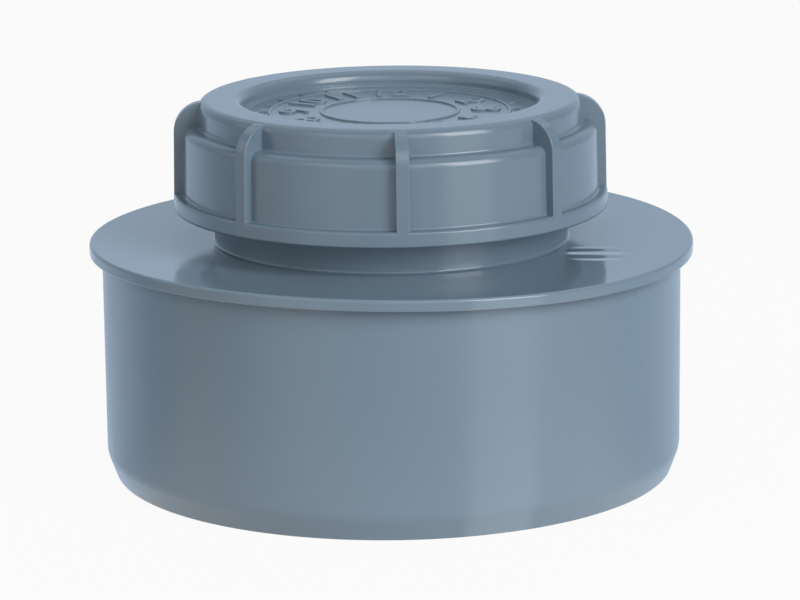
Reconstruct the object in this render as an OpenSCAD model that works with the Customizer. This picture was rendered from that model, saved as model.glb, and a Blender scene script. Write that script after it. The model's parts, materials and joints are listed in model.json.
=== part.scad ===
/* [Spigot] */
// Outside diameter of the spigot, the nominal size of the pipe
spigot_d = 90; // [80:0.5:125]
// Height of the spigot, from its open end to the underside of the flange
spigot_h = 35; // [20:0.2:60]
// Wall of the spigot
spigot_wall = 2.7; // [2:0.1:4]
// Height of the lead-in chamfer at the open end
lead_h = 3.7; // [1:0.1:6]
// Depth of the lead-in chamfer, measured on the radius
lead_in = 1.35; // [0.4:0.05:1.5]
// Rounding where the lead-in chamfer meets the spigot's side
lead_round = 4; // [0.5:0.5:6]
// Rounding of the open end's two edges
lip_round = 0.3; // [0.1:0.05:0.5]

/* [Flange] */
// How far the flange stands out past the spigot, on the radius
flange_overhang = 1.95; // [1:0.05:6]
// Thickness of the flange at its rim
flange_t = 1.8; // [1.2:0.1:3]
// Rounding of the flange's upper edge
flange_round = 0.7; // [0.3:0.05:1.1]
// Rounding of the flange's lower edge
flange_low_round = 0.25; // [0.1:0.05:0.3]
// How far the flange's top sinks on its way from the rim to the neck
flange_dish = 0.4; // [0:0.05:0.6]
// Thickness of the plate that closes the spigot round the neck, where it meets the neck
plate_t = 2.2; // [1.8:0.1:4]
// Fillet inside the spigot, where its wall meets the plate
inner_fillet = 2; // [0.5:0.1:4]

/* [Neck] */
// Outside diameter of the plain neck, which is the root of its thread
neck_d = 55; // [50:0.1:58]
// Wall of the neck
neck_wall = 2.6; // [2.5:0.1:3.5]
// Free height of the neck between the flange and the closed cap
neck_gap = 4.8; // [3:0.1:12]
// Fillet where the neck stands on the flange
neck_fillet = 0.4; // [0.1:0.05:0.8]
// Width of the level rim that presses on the seal
nose_w = 1.5; // [1:0.1:1.6]
// Rounding of the edges of that rim
nose_round = 0.25; // [0.1:0.05:0.4]

/* [Thread] */
// Rise of the thread in one turn
thread_pitch = 4; // [3.6:0.1:5]
// Height of a ridge above the wall that carries it
thread_depth = 1.8; // [0.8:0.05:2]
// Width of a ridge at its root
thread_root_w = 2; // [1.6:0.1:2.2]
// Width of a ridge at its crest
thread_crest_w = 0.9; // [0.6:0.1:1]
// Turns of the ridge on the neck
neck_turns = 1.4; // [0.75:0.05:1.6]
// Turns of the ridge in the cap
cap_turns = 1.5; // [0.75:0.05:1.75]
// Free space between a crest and the wall that it faces, on the radius
thread_clear = 0.4; // [0.35:0.05:0.6]
// Free space between the ridges of the closed cap and of the neck, along the axis
thread_play = 0.35; // [0.3:0.05:0.6]

/* [Cap] */
// Overall height of the cap
cap_h = 16.9; // [16:0.1:24]
// Wall of the cap's skirt and of its shoulder
cap_wall = 2.6; // [1.6:0.05:3]
// Height of the crown above the shoulder
crown_h = 4; // [3:0.1:5]
// Wall of the crown
crown_wall = 2.55; // [1.5:0.05:2.8]
// Thickness of the cap's top, at the rim and under the recess
top_t = 2.3; // [1.6:0.05:3]
// Rounding of the shoulder's outer edge
shoulder_round = 1.4; // [0.4:0.05:1.6]
// Fillet between the shoulder and the crown
crown_fillet = 0.4; // [0.1:0.05:0.6]
// Rounding of the crown's upper edge
crown_round = 1.35; // [0.6:0.05:2]
// Inward lean of the cap's outside, as a fraction of its height
cap_lean = 0.018; // [0:0.002:0.03]

/* [Recess] */
// Width of the raised rim round the recess
rim_w = 6.2; // [5:0.1:9]
// Depth of the recess in the cap's top
recess_depth = 2.35; // [1.2:0.05:2.6]
// Rounding of the rim's inner edge
recess_round = 1; // [0.3:0.05:1.2]
// How far the recess's wall slopes in, on the radius
recess_slope = 1; // [0.2:0.05:1.5]
// Height of the small step round the recess's floor
step_h = 0.3; // [0.1:0.05:0.5]
// Width of the small step round the recess's floor
step_w = 0.5; // [0.2:0.05:1]

/* [Grip] */
// How far the ring at the foot of the cap and the ribs stand out past the skirt
grip_depth = 1.4; // [0.8:0.05:3]
// Height of the ring at the foot of the cap
ring_h = 2.45; // [1.2:0.05:4]
// Rounding of the ring's edges
ring_round = 0.4; // [0.1:0.05:0.6]
// Number of ribs
rib_count = 8; // [4:1:12]
// Width of a rib
rib_w = 2; // [1.2:0.1:3.2]
// Rounding of a rib's top, where it turns in towards the crown
rib_round = 4.7; // [2:0.1:4.8]
// How far a rib's end reaches in over the crown, on the radius
rib_reach = 1.05; // [0.6:0.05:1.3]
// How far a rib's top lies below the cap's top
rib_drop = 0.05; // [0.05:0.05:0.5]
// Turn of the first rib from the front
rib_turn = 3; // [-22:1:22]

/* [Seal] */
// Thickness of the flat seal ring
seal_t = 2; // [1.5:0.1:2.6]
// Width of the flat seal ring
seal_w = 2.3; // [1.6:0.1:2.4]
// Free space beside the seal in the cap's groove, on the radius
seal_clear = 0.3; // [0.3:0.05:0.5]
// Rounding of the seal's edges
seal_round = 0.15; // [0.05:0.05:0.3]

/* [Hidden] */
$fn = 96;

// Straight pieces in one rounded corner of an outline
corner_steps = 8;
// Least straight stretch that a rounding leaves of an edge
round_gap = 0.01;
// Steps of a thread in one turn
thread_steps = 48;
// Turns over which a thread grows out of its wall
run_in_turns = 0.15;
// How deep ridges and ribs are sunk into the wall that carries them
root_sink = 0.4;
// Rounding of edges that only need to be broken
edge_round = 0.3;

// Radii and heights of the body
spigot_r = spigot_d / 2;
spigot_inner_r = spigot_r - spigot_wall;
flange_r = spigot_r + flange_overhang;
flange_z = spigot_h + flange_t;
neck_foot_z = flange_z - flange_dish;
plate_z = neck_foot_z - plate_t;
neck_r = neck_d / 2;
bore_r = neck_r - neck_wall;
nose_r = bore_r + nose_w;

// Heights of the closed cap
cap_z = flange_z + neck_gap;
cap_top_z = cap_z + cap_h;
shoulder_z = cap_top_z - crown_h;
shoulder_under_z = shoulder_z - cap_wall;
groove_z = cap_top_z - top_t;
floor_z = cap_top_z - recess_depth;
plug_z = floor_z - top_t;
rib_top_z = cap_top_z - rib_drop;

// The neck's nose reaches up through the cap's shoulder to the seal
nose_z = groove_z - seal_t;
nose_foot_z = shoulder_under_z - thread_clear;
neck_top_z = nose_foot_z - (neck_r - nose_r);

// The seal is centred on the nose, and the groove follows the seal
seal_mid_r = bore_r + nose_w / 2;
seal_inner_r = seal_mid_r - seal_w / 2;
seal_outer_r = seal_mid_r + seal_w / 2;
groove_inner_r = seal_inner_r - seal_clear;
groove_outer_r = seal_outer_r + seal_clear;

// Radii of the cap
cap_bore_r = neck_r + thread_depth + thread_clear;
skirt_r = cap_bore_r + cap_wall;
ring_r = skirt_r + grip_depth;
crown_r = groove_outer_r + crown_wall;
recess_r = crown_r - rim_w;
recess_foot_r = recess_r - recess_slope;

// Places of the two threads: the cap's ridge runs just below the neck's
neck_thread_z = neck_top_z - thread_root_w / 2 - thread_pitch * neck_turns;
thread_offset = ridge_w((thread_depth + thread_clear) / 2) + thread_play;
cap_thread_low_z = cap_z + edge_round + thread_root_w / 2;
cap_thread_turn = 360 * (cap_thread_low_z + thread_offset - neck_thread_z) / thread_pitch;

function unit(v) = v / norm(v);
function flat(p) = [p.x, p.y];

// Length of the edge from b to a that a rounding at b may use, which is half of it where a is rounded too
function room(a, b) = norm(flat(a - b)) / (a[2] > 0 ? 2 : 1) - round_gap;

// Points of the arc that rounds corner b between its neighbours a and c, each given as [x, y, rounding]
function corner(a, b, c) =
    let (
        u = unit(flat(a - b)),
        v = unit(flat(c - b)),
        half = acos(u * v) / 2,
        reach = min(b[2] / tan(half), room(a, b), room(c, b)),
        round_r = reach * tan(half),
        mid = flat(b) + unit(u + v) * round_r / sin(half),
        from = flat(b) + u * reach - mid,
        start = atan2(from.y, from.x),
        sweep = -sign(cross(u, v)) * (180 - 2 * half)
    )
    [for (i = [0:corner_steps]) let (t = start + sweep * i / corner_steps) mid + round_r * [cos(t), sin(t)]];

// A closed outline from corners [x, y, rounding]
function rounded(p) =
    let (n = len(p))
    [for (i = [0:n - 1])
        each p[i][2] > 0 ? corner(p[(i + n - 1) % n], p[i], p[(i + 1) % n]) : [flat(p[i])]];

// Radius of a leaning outside face of the cap at height z
function leaned(r, z) = r - cap_lean * (z - cap_z);

// Width of a ridge at a height above the wall that carries it, which is negative inside the wall
function ridge_w(h) = thread_root_w - (thread_root_w - thread_crest_w) * h / thread_depth;

// A helical ridge on a wall of radius r; side is 1 where it stands outwards and -1 where it stands inwards
module thread(r, side, turns, low_z) {
    steps = round(turns * thread_steps);
    last_turn = steps / thread_steps;
    corners = 4;
    points = [
        for (i = [0:steps])
            let (
                turn = i / thread_steps,
                grow = min(1, turn / run_in_turns, (last_turn - turn) / run_in_turns),
                crest_h = grow * (thread_depth + root_sink / 2) - root_sink / 2
            )
            for (p = [[-root_sink, -1], [crest_h, -1], [crest_h, 1], [-root_sink, 1]])
                let (x = r + side * p.x, z = low_z + thread_pitch * turn + p.y * ridge_w(p.x) / 2)
                    [x * cos(360 * turn), x * sin(360 * turn), z]
    ];
    sides = [
        for (i = [0:steps - 1], j = [0:corners - 1])
            let (a = i * corners + j, b = i * corners + (j + 1) % corners)
                each [[a, b, b + corners], [a, b + corners, a + corners]]
    ];
    first = [for (j = [corners - 1:-1:0]) j];
    last = [for (j = [0:corners - 1]) steps * corners + j];
    faces = concat(sides, [first, last]);
    polyhedron(points, side > 0 ? faces : [for (f = faces) [for (j = [len(f) - 1:-1:0]) f[j]]], convexity = 8);
}

// Half section of the spigot, flange and neck, which are moulded in one
function body_outline() = rounded([
    [spigot_inner_r, 0, lip_round],
    [spigot_r - lead_in, 0, lip_round],
    [spigot_r, lead_h, lead_round],
    [spigot_r, spigot_h, 0],
    [flange_r, spigot_h, flange_low_round],
    [flange_r, flange_z, flange_round],
    [neck_r, neck_foot_z, neck_fillet],
    [neck_r, neck_top_z, edge_round],
    [nose_r, nose_foot_z, edge_round],
    [nose_r, nose_z, nose_round],
    [bore_r, nose_z, nose_round],
    [bore_r, plate_z, edge_round],
    [spigot_inner_r, plate_z, inner_fillet]
]);

module body() {
    color([0.48, 0.55, 0.61]) {
        rotate_extrude() polygon(body_outline());
        thread(neck_r, 1, neck_turns, neck_thread_z);
    }
}

// The flat rubber ring between the neck's nose and the cap
module seal_ring() {
    color([0.13, 0.13, 0.14])
        rotate_extrude() polygon(rounded([
            [seal_inner_r, nose_z, seal_round],
            [seal_outer_r, nose_z, seal_round],
            [seal_outer_r, groove_z, seal_round],
            [seal_inner_r, groove_z, seal_round]
        ]));
}

// Half section of the cap, with its shoulder, crown and recessed top
function cap_outline() = rounded([
    [0, plug_z, 0],
    [groove_inner_r, plug_z, edge_round],
    [groove_inner_r, groove_z, edge_round],
    [groove_outer_r, groove_z, edge_round],
    [groove_outer_r, shoulder_under_z, edge_round],
    [cap_bore_r, shoulder_under_z, edge_round],
    [cap_bore_r, cap_z, edge_round],
    [ring_r, cap_z, ring_round],
    [leaned(ring_r, cap_z + ring_h), cap_z + ring_h, ring_round],
    [leaned(skirt_r, cap_z + ring_h), cap_z + ring_h, edge_round],
    [leaned(skirt_r, shoulder_z), shoulder_z, shoulder_round],
    [crown_r, shoulder_z, crown_fillet],
    [crown_r, cap_top_z, crown_round],
    [recess_r, cap_top_z, recess_round],
    [recess_foot_r, floor_z + step_h, 0],
    [recess_foot_r - step_w, floor_z + step_h, 0],
    [recess_foot_r - step_w, floor_z, 0],
    [0, floor_z, 0]
]);

// Side view of one rib: up from the ring, then round and in over the crown, and sunk into the cap behind
function rib_outline() =
    let (foot_z = cap_z + ring_h / 2)
    rounded([
        [skirt_r - root_sink, foot_z, 0],
        [leaned(ring_r, foot_z), foot_z, 0],
        [leaned(ring_r, rib_top_z), rib_top_z, rib_round],
        [crown_r - rib_reach, rib_top_z, 0],
        [crown_r - rib_reach, shoulder_z - root_sink, 0],
        [skirt_r - cap_wall / 2, shoulder_z - root_sink - shoulder_round, 0]
    ]);

module rib() {
    rotate([90, 0, 0]) linear_extrude(rib_w, center = true) polygon(rib_outline());
}

module screw_cap() {
    color([0.5, 0.57, 0.63]) {
        rotate_extrude() polygon(cap_outline());
        for (i = [0:rib_count - 1]) rotate(rib_turn - 90 + 360 * i / rib_count) rib();
        rotate(cap_thread_turn) thread(cap_bore_r, -1, cap_turns, cap_thread_low_z);
    }
}

body();
seal_ring();
screw_cap();
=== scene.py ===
"""Looks of the pipe end cap: a spigot with a flange and a threaded neck, a seal ring and a ribbed screw cap.

Lengths are in millimetres up to the last step of each mesh, which brings it to metres.
"""
import json
import math
import bmesh
import bpy
from mathutils import Matrix, Vector


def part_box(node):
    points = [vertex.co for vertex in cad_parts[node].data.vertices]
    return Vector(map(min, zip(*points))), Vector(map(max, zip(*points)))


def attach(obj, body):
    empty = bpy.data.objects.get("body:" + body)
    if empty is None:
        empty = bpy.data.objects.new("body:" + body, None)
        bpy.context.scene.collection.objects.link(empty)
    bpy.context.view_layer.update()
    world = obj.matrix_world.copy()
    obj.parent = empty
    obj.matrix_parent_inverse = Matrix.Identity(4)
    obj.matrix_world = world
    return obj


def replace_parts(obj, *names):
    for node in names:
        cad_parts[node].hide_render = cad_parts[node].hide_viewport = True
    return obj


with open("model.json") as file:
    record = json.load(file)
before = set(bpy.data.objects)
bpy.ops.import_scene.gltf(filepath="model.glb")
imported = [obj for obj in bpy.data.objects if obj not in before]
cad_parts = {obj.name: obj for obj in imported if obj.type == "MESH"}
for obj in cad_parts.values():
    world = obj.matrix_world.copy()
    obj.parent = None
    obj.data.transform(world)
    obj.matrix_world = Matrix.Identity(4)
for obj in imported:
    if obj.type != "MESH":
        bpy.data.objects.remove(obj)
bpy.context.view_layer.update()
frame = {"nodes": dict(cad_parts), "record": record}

MM = 0.001
TURN = 2 * math.pi

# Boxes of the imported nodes, in millimetres
body_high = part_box("body")[1] / MM
cap_low, cap_high = (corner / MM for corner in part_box("screw_cap"))
seal_low, seal_high = (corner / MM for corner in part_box("seal_ring"))

# Body: spigot, flange, plate and neck
spigot_r = frame["record"]["mounts"][0]["dims"]["r_mm"]
spigot_h = 35
spigot_wall = 2.7
lead_h = 3.7
lead_in = 1.35
lead_round = 4
lip_round = 0.3
flange_r = body_high.x
flange_t = 1.8
flange_dish = 0.4
flange_round = 0.45
flange_low_round = 0.3
flange_foot_round = 0.05
flange_z = spigot_h + flange_t
neck_foot_z = flange_z - flange_dish
plate_t = 2.2
plate_z = neck_foot_z - plate_t
inner_fillet = 2
neck_r = 27.5
neck_wall = 2.6
neck_fillet = 0.4
bore_r = neck_r - neck_wall
nose_w = 1.5
nose_r = bore_r + nose_w
nose_z = seal_low.z
nose_round = 0.25
edge_round = 0.3

# How the flange has warped: a drop of its rim, and cosine and sine waves round it, each with its count and
# its height
warp_drop = -0.14
warp_cosines = ((1, -0.15), (2, -0.14))
warp_sines = ((1, -0.07), (2, 0.32), (3, 0.09))

# Fine streaks in the flange's front right: where, how far they reach, how far apart and how high
streak_place = Vector((31, -14.5, flange_z))
streak_r = 6.2
streak_gap = 4.65
streak_h = 0.056

# The coarse thread that neck and cap share
thread_pitch = 4
thread_depth = 1.8
thread_root_w = 2
thread_crest_w = 0.9
thread_clear = 0.4
thread_round = 0.2
thread_sink = 0.4
neck_turns = 1.4
cap_turns = 1.5
run_in_turns = 0.15
run_in_least = 0.2

# Screw cap: skirt, shoulder, crown and recess
cap_z = cap_low.z
cap_top_z = cap_high.z
cap_wall = 2.6
cap_bore_r = neck_r + thread_depth + thread_clear
skirt_r = cap_bore_r + cap_wall
lean = 0.018
grip_depth = 1.4
ring_r = skirt_r + grip_depth
ring_h = 2.45
ring_round = 0.4
crown_h = 4
crown_r = 29.65
crown_round = 1.35
crown_fillet = 0.4
shoulder_z = cap_top_z - crown_h
shoulder_under_z = shoulder_z - cap_wall
shoulder_round = 1.4
rim_w = 6.9
recess_r = crown_r - rim_w
recess_slope = 0.05
recess_round = 1.5
recess_foot_r = recess_r - recess_slope
recess_depth = 2.35
floor_z = cap_top_z - recess_depth
step_h = 0.3
step_w = 0.5
step_round = 0.12

# The seal ring is centred on the neck's nose, and the cap's groove and plug follow it
seal_mid_r = bore_r + nose_w / 2
seal_half_w = seal_high.x - seal_mid_r
seal_clear = 0.3
groove_inner_r = seal_mid_r - seal_half_w - seal_clear
groove_outer_r = seal_mid_r + seal_half_w + seal_clear
groove_z = seal_high.z
plug_z = floor_z - (cap_top_z - groove_z)

# Where the two threads run: the offset puts the cap's ridge just below the neck's
nose_foot_z = shoulder_under_z - thread_clear
neck_top_z = nose_foot_z - (neck_r - nose_r)
neck_thread_z = neck_top_z - thread_root_w / 2 - thread_pitch * neck_turns
cap_thread_z = cap_z + edge_round + thread_root_w / 2
thread_offset = 1.68
cap_thread_start = TURN * (cap_thread_z + thread_offset - neck_thread_z) / thread_pitch

# Ribs of the screw cap
rib_count = 8
rib_turn = math.radians(3)
rib_w = 2
rib_round = 4.7
rib_edge_round = 0.32
rib_inset = 0.03
rib_reach = 1.05
rib_drop = 0.2
rib_sink = 1

# Raised number dial on the recess's floor
dial_h = 0.24
dial_sink = 0.15
dial_numbers = 12
dial_number_r = 14.6
dial_number_h = 4.6
dial_number_round = 0.04
dial_rings = ((10.6, 0.5), (18.6, 0.5))
dial_ring_round = 0.1
dial_ticks = 24
dial_tick_r = 19.6
dial_tick_w = 0.45
dial_tick_length = 1.1

# A digit's height as a share of the font's size
digit_share = 0.7

# How finely curves are cut, and how close points are that become one
round_segments = 8
around = 256
thread_steps = 72
thread_round_segments = 3
rib_segments = 24
rib_edge_segments = 5
digit_steps = 3
merge_distance = 0.0005

# Shading: edges sharper than this angle stay hard, and large faces count more than small ones
hard_edge_angle = math.radians(40)
large_face_weight = 80

# Linear colours of the grey plastics, each from deep to pale
body_shades = ((0.162, 0.233, 0.299), (0.170, 0.243, 0.311))
cap_shades = ((0.142, 0.205, 0.262), (0.149, 0.214, 0.273))

# Roughness of the plastics, how far it varies, and over what height one passes into the next
spigot_roughness = 0.24
flange_roughness = 0.1
neck_roughness = 0.32
cap_roughness = 0.2
roughness_spread = 0.04
roughness_blend = 0.8
plastic_ior = 1.5

# Patterns of the plastics as noise: cycles a metre, detail and roughness
flow_marks = (28, 3, 0.55)
specks = (900, 2, 0.5)
gloss_patches = (160, 4, 0.5)
ripples = (110, 1, 0.4)
grain = (2600, 1, 0.5)
noise_middle = 0.5

# How strongly flow marks and specks tint the plastics, how high ripples and grain are, and how far an edge
# looks rounded
flow_tint = 1.4
speck_tint = 0.25
ripple_h = 0.02
grain_h = 0.0004
edge_blur = 0.1
edge_blur_samples = 6

# Rubber of the seal ring: its bloom and grain as noise, the shades that the bloom passes between, each with
# its level of noise, and its roughness
rubber_bloom = (350, 4, 0.6)
rubber_grain = (3000, 2, 0.5)
rubber_grain_h = 0.02
rubber_grain_strength = 0.5
rubber_shades = ((0.35, (0.014, 0.014, 0.015)), (0.7, (0.03, 0.03, 0.032)))
rubber_roughness = 0.45
rubber_roughness_spread = 0.2

# Softboxes: name, heading and rise in degrees, width and height, and power in watts
lamp_aim = Vector((0, 0, 40))
lamp_distance = 1000
softboxes = (
    ("key_box", 47, 28, (460, 760), 7.7),
    ("front_box", 20, 34, (600, 600), 1.35),
    ("fill_box", -36, 36, (560, 380), 0.78),
    ("left_box", -90, 24, (500, 500), 0.5),
    ("top_box", 180, 66, (1400, 900), 2.2),
)

# Brightness of the surround towards the low and the high end of each axis, as matt surfaces get it and as
# gloss shows it; the tone in which gloss shows what lies behind the part, and how gradually it sets in
surround = (("X", 0.42, 0), ("Y", 0.46, 0.6))
surround_in_gloss = (("X", 0.82, 0.1), ("Y", 1.5, 0.94), ("Z", 0, 0.4))
mirror_tone = (0.65, 0.81, 1)
tone_turn = 0.2

# Floor: its radius, its matt colour and the share of it that the camera sees as plain white
floor_r = 6000
floor_segments = 96
floor_shade = (0.48, 0.48, 0.48)
floor_white = 0.94

# How bright gloss shows the floor, what is added in front of the part, between which distances from the
# axis that fades, and between which places along Y the front passes into what lies behind
floor_glow_level = 0.72
floor_glow_front = 0.75
floor_glow_reach = (50, 150)
floor_front = (-40, -5)

# Brighter parts of the floor in gloss: how much brighter, how soft their edges are, and the headings in
# degrees between which the spigot shows them, where None leaves a side open
pools = (
    (1.1, 1, 14.5, 28),
    (0.3, 20, -27, 36),
    (0.28, 12, None, -55),
    (0.27, 14, -70, -48),
    (0.36, 20, -50, -10),
)

# The camera, from a fit to the photo's outline: its place, its turns in radians, its lens and its sensor
camera_place = Vector((0, -569.12, 158.69))
camera_pan = -0.0022
camera_tilt = -0.2289
camera_roll = 0.0110
camera_lens = 167.96
camera_sensor = 36
camera_near = 10


class Signal:
    """A shader socket that takes part in sums, such as 1 - mask"""

    def __init__(self, finish, socket):
        self.finish = finish
        self.socket = socket

    def sum_with(self, operation, first, second):
        return self.finish.add("ShaderNodeMath", {"operation": operation}, first, second)

    def __add__(self, other):
        return self.sum_with("ADD", self, other)

    def __sub__(self, other):
        return self.sum_with("SUBTRACT", self, other)

    def __rsub__(self, other):
        return self.sum_with("SUBTRACT", other, self)

    def __mul__(self, other):
        return self.sum_with("MULTIPLY", self, other)

    __radd__ = __add__
    __rmul__ = __mul__


class Finish:
    """The node tree of one material or of the world"""

    def __init__(self, tree):
        self.tree = tree
        tree.nodes.clear()

    def add(self, kind, settings=None, *inputs, output=0, **named):
        """Adds a node, sets it up, then feeds its sockets in order or by name, and returns one output"""
        node = self.tree.nodes.new(kind)
        for key, value in (settings or {}).items():
            if key == "stops":
                set_stops(node.color_ramp, value)
            else:
                setattr(node, key, value)
        for place, value in enumerate(inputs):
            self.feed(node.inputs[place], value)
        for name, value in named.items():
            self.feed(node.inputs[name.replace("_", " ")], value)
        return Signal(self, node.outputs[output]) if node.outputs else None

    def feed(self, socket, value):
        """Links a signal to a socket, or sets the socket's own value"""
        if isinstance(value, Signal):
            self.tree.links.new(value.socket, socket)
        else:
            socket.default_value = value

    def noise(self, scale, detail, roughness):
        """Even noise from 0 to 1, with scale in cycles a metre"""
        place = self.add("ShaderNodeTexCoord", output="Object")
        return self.add(
            "ShaderNodeTexNoise", None, Vector=place, Scale=scale, Detail=detail, Roughness=roughness)

    def along(self, axis, vector):
        """A vector's reach along one axis"""
        return self.add("ShaderNodeSeparateXYZ", None, vector, output=axis)

    def rise(self, value, start, end, pace="LINEAR"):
        """Mask that is 0 up to the start and 1 from the end on"""
        return self.add("ShaderNodeMapRange", {"interpolation_type": pace}, value, start, end, 0, 1)


def set_stops(ramp, stops):
    """Gives a colour ramp its two stops, each a position and a colour"""
    for stop, (position, colour) in zip(ramp.elements, stops):
        stop.position = position
        stop.color = (*colour, 1)


def new_finish(name):
    """A material and the empty node tree that makes its finish"""
    material = bpy.data.materials.new(name)
    material.use_nodes = True
    return material, Finish(material.node_tree)


def moulded_plastic(name, shades, base_roughness, flanged=False):
    """Moulded plastic with faint flow marks, an uneven gloss and soft ripples; a flange is polished"""
    material, finish = new_finish(name)
    flow = finish.noise(*flow_marks) - noise_middle
    speck = finish.noise(*specks) - noise_middle
    mottle = flow * flow_tint + speck * speck_tint + noise_middle
    colour = finish.add("ShaderNodeValToRGB", {"stops": ((0, shades[0]), (1, shades[1]))}, mottle)
    roughness = finish.noise(*gloss_patches) * roughness_spread + (base_roughness - roughness_spread / 2)
    height = finish.noise(*ripples) * ripple_h + finish.noise(*grain) * grain_h
    if flanged:
        place = finish.add("ShaderNodeTexCoord", output="Object")
        up = finish.along("Z", place)
        flange = finish.rise(up, (spigot_h - roughness_blend) * MM, spigot_h * MM)
        neck = finish.rise(up, flange_z * MM, (flange_z + roughness_blend) * MM)
        roughness = roughness + flange * (flange_roughness - base_roughness)
        roughness = roughness + neck * (neck_roughness - flange_roughness)
        height = height + streaks(finish, place) * streak_h
    bevel = finish.add("ShaderNodeBevel", {"samples": edge_blur_samples}, Radius=edge_blur * MM)
    normal = finish.add("ShaderNodeBump", None, Strength=1, Distance=MM, Height=height, Normal=bevel)
    shader = finish.add(
        "ShaderNodeBsdfPrincipled", None,
        Base_Color=colour, Roughness=roughness, IOR=plastic_ior, Normal=normal)
    finish.add("ShaderNodeOutputMaterial", None, shader)
    return material


def streaks(finish, place):
    """Waves from -1 to 1 along Y in one part of the flange, which fade towards its edge"""
    distance = finish.add(
        "ShaderNodeVectorMath", {"operation": "DISTANCE"}, place, streak_place * MM, output="Value")
    faded = finish.rise(distance, streak_r / 2 * MM, streak_r * MM, "SMOOTHSTEP")
    phase = finish.along("Y", place) * (-TURN / (streak_gap * MM))
    wave = finish.add("ShaderNodeMath", {"operation": "SINE"}, phase)
    return wave * (1 - faded)


def seal_rubber():
    """Dark, smooth rubber with a faint bloom"""
    material, finish = new_finish("seal_rubber")
    bloom = finish.noise(*rubber_bloom)
    colour = finish.add("ShaderNodeValToRGB", {"stops": rubber_shades}, bloom)
    normal = finish.add(
        "ShaderNodeBump", None,
        Strength=rubber_grain_strength, Distance=rubber_grain_h * MM, Height=finish.noise(*rubber_grain))
    roughness = bloom * rubber_roughness_spread + rubber_roughness
    shader = finish.add(
        "ShaderNodeBsdfPrincipled", None, Base_Color=colour, Roughness=roughness, Normal=normal)
    finish.add("ShaderNodeOutputMaterial", None, shader)
    return material


def move(bm, *offset):
    """Moves a whole bmesh"""
    bmesh.ops.translate(bm, vec=offset, verts=bm.verts[:])


def turn(bm, angle):
    """Turns a whole bmesh about the Z axis"""
    bmesh.ops.rotate(bm, cent=(0, 0, 0), matrix=Matrix.Rotation(angle, 3, "Z"), verts=bm.verts[:])


def rounded_profile(corners, closed=True, segments=round_segments):
    """A wire of (radius, height) corners in the XZ plane, each rounded by the third number"""
    bm = bmesh.new()
    places = [Vector((r, 0, z)) for r, z, _ in corners]
    verts = [bm.verts.new(place) for place in places]
    count = len(verts)
    for i in range(count if closed else count - 1):
        bm.edges.new((verts[i], verts[(i + 1) % count]))
    for i, (_, _, rounding) in enumerate(corners):
        if rounding > 0:
            back = places[i - 1] - places[i]
            ahead = places[(i + 1) % count] - places[i]
            bmesh.ops.bevel(
                bm, geom=[verts[i]], offset=rounding / math.tan(back.angle(ahead) / 2), segments=segments,
                profile=0.5, affect="VERTICES", material=-1)
    return bm


def spin_round(bm):
    """Spins a wire once round the Z axis and closes its seam and poles"""
    bmesh.ops.spin(
        bm, geom=bm.verts[:] + bm.edges[:], cent=(0, 0, 0), axis=(0, 0, 1), angle=TURN, steps=around,
        use_merge=True)
    bmesh.ops.remove_doubles(bm, verts=bm.verts[:], dist=merge_distance)
    bmesh.ops.recalc_face_normals(bm, faces=bm.faces[:])


def new_mesh(bm, name):
    """A mesh of a bmesh, which is used up"""
    mesh = bpy.data.meshes.new(name)
    bm.to_mesh(mesh)
    bm.free()
    return mesh


def new_object(name, data):
    """An object in the scene that shows a mesh, text, a lamp or a camera"""
    made = bpy.data.objects.new(name, data)
    bpy.context.scene.collection.objects.link(made)
    return made


def evaluated_bmesh(source):
    """A bmesh of an object as its modifiers or its text make it"""
    depsgraph = bpy.context.evaluated_depsgraph_get()
    bm = bmesh.new()
    bm.from_mesh(source.evaluated_get(depsgraph).to_mesh())
    return bm


def finished(bm, name, material, body):
    """Makes an object of a bmesh in millimetres, and lets it ride on its body"""
    bmesh.ops.scale(bm, vec=(MM, MM, MM), verts=bm.verts[:])
    piece = new_object(name, new_mesh(bm, name))
    shade(piece)
    piece.data.materials.append(material)
    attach(piece, body)
    return piece


def shade(piece):
    """Smooth shading that keeps flat faces flat and hard edges hard"""
    piece.data.shade_smooth()
    piece.data.set_sharp_from_angle(angle=hard_edge_angle)
    weighted = piece.modifiers.new("even_normals", "WEIGHTED_NORMAL")
    weighted.keep_sharp = True
    weighted.weight = large_face_weight


def add_mesh(bm, other):
    """Moves everything in another bmesh into this one"""
    mesh = new_mesh(other, "part")
    bm.from_mesh(mesh)
    bpy.data.meshes.remove(mesh)


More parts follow.
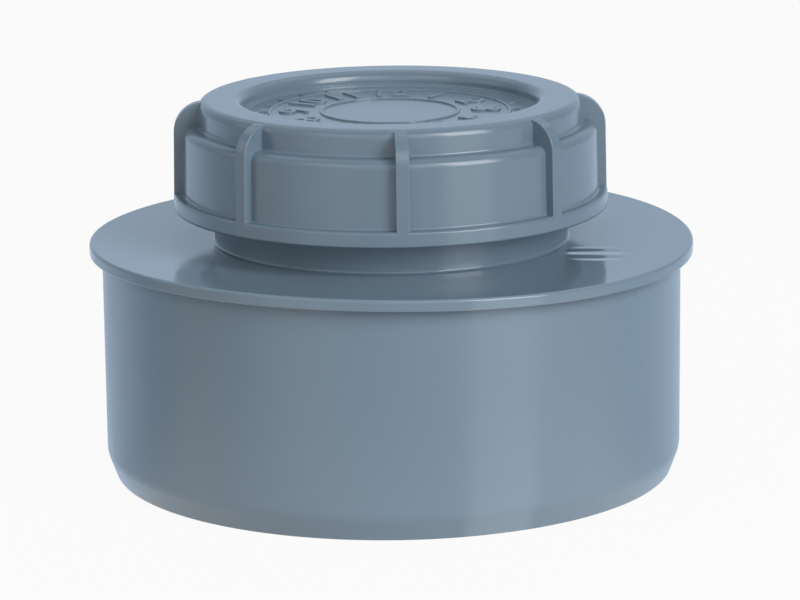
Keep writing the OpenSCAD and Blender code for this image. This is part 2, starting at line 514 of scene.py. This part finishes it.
def thread_ridge(wall_r, side, turns, low_z, start):
    """A helical ridge with rounded crest edges that grows out of its wall at both ends

    It stands outwards where side is 1 and inwards where side is -1.
    """
    bm = bmesh.new()
    flank = (thread_root_w - thread_crest_w) / (2 * thread_depth)
    root_half = thread_root_w / 2 + flank * thread_sink
    crest_half = thread_crest_w / 2
    sunk_r = wall_r - side * thread_sink
    crest_r = wall_r + side * thread_depth
    section = [
        bm.verts.new((sunk_r, 0, -root_half)),
        bm.verts.new((crest_r, 0, -crest_half)),
        bm.verts.new((crest_r, 0, crest_half)),
        bm.verts.new((sunk_r, 0, root_half)),
    ]
    for first, second in zip(section, section[1:] + section[:1]):
        bm.edges.new((first, second))
    bmesh.ops.bevel(
        bm, geom=section[1:3], offset=thread_round, segments=thread_round_segments,
        profile=0.5, affect="VERTICES", material=-1)
    end = bmesh.ops.contextual_create(bm, geom=bm.edges[:])["faces"]
    move(bm, 0, 0, low_z)
    turn(bm, start)
    steps = round(turns * thread_steps)
    bmesh.ops.spin(
        bm, geom=end, cent=(0, 0, 0), axis=(0, 0, 1), dvec=(0, 0, thread_pitch / thread_steps),
        angle=TURN * steps / thread_steps, steps=steps)
    run_in = run_in_turns * TURN
    for vert in bm.verts:
        turned = (math.atan2(vert.co.y, vert.co.x) - start) % TURN
        whole = round((vert.co.z - low_z) / thread_pitch - turned / TURN)
        travelled = turned + whole * TURN
        left = TURN * turns - travelled
        grown = max(0, min(1, travelled / run_in, left / run_in))
        radius = math.hypot(vert.co.x, vert.co.y)
        new_radius = sunk_r + (radius - sunk_r) * (run_in_least + (1 - run_in_least) * grown)
        vert.co.x *= new_radius / radius
        vert.co.y *= new_radius / radius
    bmesh.ops.recalc_face_normals(bm, faces=bm.faces[:])
    return bm


def body_piece(material):
    """Spigot, flange, plate and threaded neck, moulded in one"""
    bm = rounded_profile([
        (spigot_r - spigot_wall, 0, lip_round),
        (spigot_r - lead_in, 0, lip_round),
        (spigot_r, lead_h, lead_round),
        (spigot_r, spigot_h, flange_foot_round),
        (flange_r, spigot_h, flange_low_round),
        (flange_r, flange_z, flange_round),
        (neck_r, neck_foot_z, neck_fillet),
        (neck_r, neck_top_z, edge_round),
        (nose_r, nose_foot_z, edge_round),
        (nose_r, nose_z, nose_round),
        (bore_r, nose_z, nose_round),
        (bore_r, plate_z, edge_round),
        (spigot_r - spigot_wall, plate_z, inner_fillet),
    ])
    spin_round(bm)
    for vert in bm.verts:
        vert.co.z += flange_warp(vert.co)
    add_mesh(bm, thread_ridge(neck_r, 1, neck_turns, neck_thread_z, 0))
    return finished(bm, "moulded_body", material, "fitting")


def flange_warp(place):
    """How far the flange has bent up at a place; the neck and the spigot's wall below stay true"""
    reach = (math.hypot(place.x, place.y) - neck_r) / (flange_r - neck_r)
    if reach <= 0 or place.z <= plate_z - inner_fillet:
        return 0
    around_it = math.atan2(place.y, place.x)
    return reach * (
        warp_drop
        + sum(height * math.cos(k * around_it) for k, height in warp_cosines)
        + sum(height * math.sin(k * around_it) for k, height in warp_sines))


def leaned(radius, height):
    """A radius of the cap's outside at a height, which narrows a little towards the top"""
    return radius - lean * (height - cap_z)


def cap_shell():
    """The screw cap without its ribs"""
    ring_top_z = cap_z + ring_h
    bm = rounded_profile([
        (0, plug_z, 0),
        (groove_inner_r, plug_z, edge_round),
        (groove_inner_r, groove_z, edge_round),
        (groove_outer_r, groove_z, edge_round),
        (groove_outer_r, shoulder_under_z, edge_round),
        (cap_bore_r, shoulder_under_z, edge_round),
        (cap_bore_r, cap_z, edge_round),
        (ring_r, cap_z, ring_round),
        (leaned(ring_r, ring_top_z), ring_top_z, ring_round),
        (leaned(skirt_r, ring_top_z), ring_top_z, edge_round),
        (leaned(skirt_r, shoulder_z), shoulder_z, shoulder_round),
        (crown_r, shoulder_z, crown_fillet),
        (crown_r, cap_top_z, crown_round),
        (recess_r, cap_top_z, recess_round),
        (recess_foot_r, floor_z + step_h, step_round),
        (recess_foot_r - step_w, floor_z + step_h, step_round),
        (recess_foot_r - step_w, floor_z, step_round),
        (0, floor_z, 0),
    ], closed=False)
    spin_round(bm)
    return bm


def rib():
    """One grip rib: up from the ring, then round and in over the crown"""
    foot_z = cap_z + ring_h / 2
    top_z = cap_top_z - rib_drop
    end_r = crown_r - rib_reach
    bm = rounded_profile([
        (skirt_r - rib_sink, foot_z, 0),
        (leaned(ring_r, foot_z) - rib_inset, foot_z, 0),
        (leaned(ring_r, top_z) - rib_inset, top_z, rib_round),
        (end_r, top_z, 0),
        (end_r, shoulder_z - rib_sink, 0),
        (skirt_r - rib_sink, shoulder_z - rib_sink - shoulder_round, 0),
    ], segments=rib_segments)
    move(bm, 0, -rib_w / 2, 0)
    side = bmesh.ops.contextual_create(bm, geom=bm.edges[:])["faces"]
    grown = bmesh.ops.extrude_face_region(bm, geom=side)["geom"]
    far_side = [part for part in grown if isinstance(part, bmesh.types.BMVert)]
    bmesh.ops.translate(bm, vec=(0, rib_w, 0), verts=far_side)
    bmesh.ops.recalc_face_normals(bm, faces=bm.faces[:])
    rims = [edge for edge in bm.edges if abs(edge.verts[0].co.y - edge.verts[1].co.y) < rib_w / 2]
    bmesh.ops.bevel(
        bm, geom=rims, offset=rib_edge_round, segments=rib_edge_segments,
        profile=0.5, affect="EDGES", clamp_overlap=True, material=-1)
    return bm


def ribs():
    """All the cap's ribs, evenly round it from one near the camera's side"""
    bm = bmesh.new()
    for i in range(rib_count):
        one = rib()
        turn(one, rib_turn - TURN / 4 + TURN * i / rib_count)
        add_mesh(bm, one)
    return bm


def fused(bm, other):
    """Joins two closed meshes into one skin"""
    base = new_object("base", new_mesh(bm, "base"))
    added = new_object("added", new_mesh(other, "added"))
    join = base.modifiers.new("join", "BOOLEAN")
    join.operation = "UNION"
    join.solver = "EXACT"
    join.object = added
    result = evaluated_bmesh(base)
    for piece in (base, added):
        mesh = piece.data
        bpy.data.objects.remove(piece)
        bpy.data.meshes.remove(mesh)
    return result


def number_dial():
    """Raised rings, ticks and plain numbers on the recess's floor"""
    bm = bmesh.new()
    low = floor_z - dial_sink
    high = floor_z + dial_h
    for radius, width in dial_rings:
        ring = rounded_profile([
            (radius - width / 2, low, 0),
            (radius + width / 2, low, 0),
            (radius + width / 2, high, dial_ring_round),
            (radius - width / 2, high, dial_ring_round),
        ])
        spin_round(ring)
        add_mesh(bm, ring)
    for i in range(dial_ticks):
        tick = bmesh.new()
        bmesh.ops.create_cube(tick, size=1)
        bmesh.ops.scale(tick, vec=(dial_tick_length, dial_tick_w, high - low), verts=tick.verts[:])
        move(tick, dial_tick_r, 0, (low + high) / 2)
        turn(tick, TURN * i / dial_ticks)
        add_mesh(bm, tick)
    for i in range(dial_numbers):
        number = numeral(str(i + 1))
        move(number, 0, dial_number_r, low)
        turn(number, -TURN * (i + 1) / dial_numbers)
        add_mesh(bm, number)
    return bm


def numeral(digits):
    """A raised plain number that stands on the origin, with its top towards +Y"""
    curve = bpy.data.curves.new("numeral", "FONT")
    curve.body = digits
    curve.size = dial_number_h / digit_share
    curve.align_x = "CENTER"
    curve.align_y = "CENTER"
    curve.extrude = (dial_h + dial_sink) / 2
    curve.bevel_depth = dial_number_round
    curve.resolution_u = digit_steps
    holder = new_object("numeral", curve)
    bm = evaluated_bmesh(holder)
    bpy.data.objects.remove(holder)
    bpy.data.curves.remove(curve)
    bmesh.ops.remove_doubles(bm, verts=bm.verts[:], dist=merge_distance)
    bmesh.ops.recalc_face_normals(bm, faces=bm.faces[:])
    move(bm, 0, 0, (dial_h + dial_sink) / 2)
    return bm


def cap_piece(material):
    """Screw cap with its ribs, its inner thread and the number dial"""
    shell = fused(cap_shell(), ribs())
    add_mesh(shell, thread_ridge(cap_bore_r, -1, cap_turns, cap_thread_z, cap_thread_start % TURN))
    add_mesh(shell, number_dial())
    return finished(shell, "ribbed_cap", material, "cap")


def pale_floor():
    """A floor that the camera sees as white with a soft shadow, and that gloss shows with a painted glow:
    brighter pools and a cool tone behind the part
    """
    bm = bmesh.new()
    bmesh.ops.create_circle(bm, cap_ends=True, segments=floor_segments, radius=floor_r * MM)
    floor = new_object("floor", new_mesh(bm, "floor"))
    material, finish = new_finish("pale_floor")
    camera_ray, mirror_ray = sight_and_mirror(finish)
    matt = finish.add("ShaderNodeBsdfDiffuse", None, Color=(*floor_shade, 1))
    place = finish.add("ShaderNodeTexCoord", output="Object")
    behind = finish.rise(finish.along("Y", place), floor_front[0] * MM, floor_front[1] * MM, "SMOOTHSTEP")
    glow = camera_ray + mirror_ray * floor_glow(finish, place, behind)
    white = finish.add("ShaderNodeEmission", None, Color=cooled(finish, mirror_ray * behind), Strength=glow)
    mixed = finish.add("ShaderNodeMixShader", None, camera_ray * floor_white + mirror_ray, matt, white)
    finish.add("ShaderNodeOutputMaterial", None, mixed)
    floor.data.materials.append(material)


def sight_and_mirror(finish):
    """Masks of what the camera sees straight, and of what gloss or glass shows it"""
    camera_ray = finish.add("ShaderNodeLightPath", output="Is Camera Ray")
    glossy_ray = finish.add("ShaderNodeLightPath", output="Is Glossy Ray")
    return camera_ray, glossy_ray + finish.add("ShaderNodeLightPath", output="Is Transmission Ray")


def cooled(finish, mask):
    """White, and the mirrored tone where the mask is 1"""
    return finish.add("ShaderNodeValToRGB", {"stops": ((0, (1, 1, 1)), (1, mirror_tone))}, mask)


def floor_glow(finish, place, behind):
    """How bright gloss shows each place of the floor"""
    distance = finish.add("ShaderNodeVectorMath", {"operation": "LENGTH"}, place, output="Value")
    near, far = floor_glow_reach
    faded = finish.rise(distance, near * MM, far * MM, "SMOOTHSTEP")
    glow = (1 - faded) * (1 - behind) * floor_glow_front + floor_glow_level
    for brightness, soft, first, last in pools:
        pool = brightness
        for heading, inside in ((first, 1), (last, -1)):
            if heading is not None:
                pool = pool * beside_edge(finish, place, math.radians(heading), inside, soft)
        glow = glow + pool
    return glow


def beside_edge(finish, place, heading, inside, soft):
    """Mask on one side of the line on the floor that the spigot mirrors at one heading"""
    start = Vector((spigot_r * math.sin(heading), -spigot_r * math.cos(heading), 0))
    mirrored = 2 * heading + math.atan2(start.x, (start - camera_place).length)
    across = Vector((math.cos(mirrored), math.sin(mirrored), 0)) * inside
    offset = start.dot(across)
    reach = finish.add("ShaderNodeVectorMath", {"operation": "DOT_PRODUCT"}, place, across, output="Value")
    return finish.rise(reach, (offset - soft) * MM, (offset + soft) * MM)


def world_light():
    """Soft studio surround with its own brightness each way out, and plain white to the camera"""
    world = bpy.data.worlds.new("studio")
    bpy.context.scene.world = world
    world.use_nodes = True
    finish = Finish(world.node_tree)
    direction = finish.add("ShaderNodeTexCoord", output="Generated")
    camera_ray, mirror_ray = sight_and_mirror(finish)
    matt_glow = glow_by_direction(finish, direction, surround)
    glow = matt_glow + mirror_ray * (glow_by_direction(finish, direction, surround_in_gloss) - matt_glow)
    behind = finish.rise(finish.along("Y", direction), -tone_turn, tone_turn)
    tone = cooled(finish, mirror_ray * behind)
    studio = finish.add("ShaderNodeBackground", None, Color=tone, Strength=glow)
    white = finish.add("ShaderNodeBackground", None, Color=(1, 1, 1, 1), Strength=1)
    mixed = finish.add("ShaderNodeMixShader", None, camera_ray, studio, white)
    finish.add("ShaderNodeOutputWorld", None, mixed)


def glow_by_direction(finish, direction, levels):
    """Brightness that passes smoothly between its levels towards the low and the high end of each axis"""
    glow = 0
    for axis, low_end, high_end in levels:
        reach = finish.along(axis, direction)
        ahead = finish.add("ShaderNodeMath", {"operation": "GREATER_THAN"}, reach, 0)
        glow = reach * reach * (ahead * (high_end - low_end) + low_end) + glow
    return glow


def softbox(name, heading, rise, size, power):
    """A rectangular lamp that faces the part; heading 0 is the camera's side and 90 the right, in degrees"""
    light = bpy.data.lights.new(name, "AREA")
    light.shape = "RECTANGLE"
    light.size = size[0] * MM
    light.size_y = size[1] * MM
    light.energy = power
    lamp = new_object(name, light)
    sideways = Matrix.Rotation(math.radians(heading), 4, "Z")
    upwards = Matrix.Rotation(math.radians(90 - rise), 4, "X")
    outwards = Matrix.Translation((0, 0, lamp_distance * MM))
    lamp.matrix_world = Matrix.Translation(lamp_aim * MM) @ sideways @ upwards @ outwards


def camera():
    """The photo's camera"""
    lens = bpy.data.cameras.new("camera")
    lens.sensor_fit = "HORIZONTAL"
    lens.sensor_width = camera_sensor
    lens.lens = camera_lens
    lens.clip_start = camera_near * MM
    viewer = new_object("camera", lens)
    heading = Matrix.Rotation(camera_pan, 4, "Z") @ Matrix.Rotation(camera_tilt, 4, "X")
    heading = heading @ Matrix.Rotation(camera_roll, 4, "Y") @ Matrix.Rotation(TURN / 4, 4, "X")
    viewer.matrix_world = Matrix.Translation(camera_place * MM) @ heading
    bpy.context.scene.camera = viewer


camera()
body_finish = moulded_plastic("body_plastic", body_shades, spigot_roughness, flanged=True)
cap_finish = moulded_plastic("cap_plastic", cap_shades, cap_roughness)
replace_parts(body_piece(body_finish), "body")
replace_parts(cap_piece(cap_finish), "screw_cap")
rubber = seal_rubber()
for slot in frame["nodes"]["seal_ring"].material_slots:
    slot.material = rubber
pale_floor()
world_light()
for box in softboxes:
    softbox(*box)
bpy.context.scene.view_settings.view_transform = "Standard"
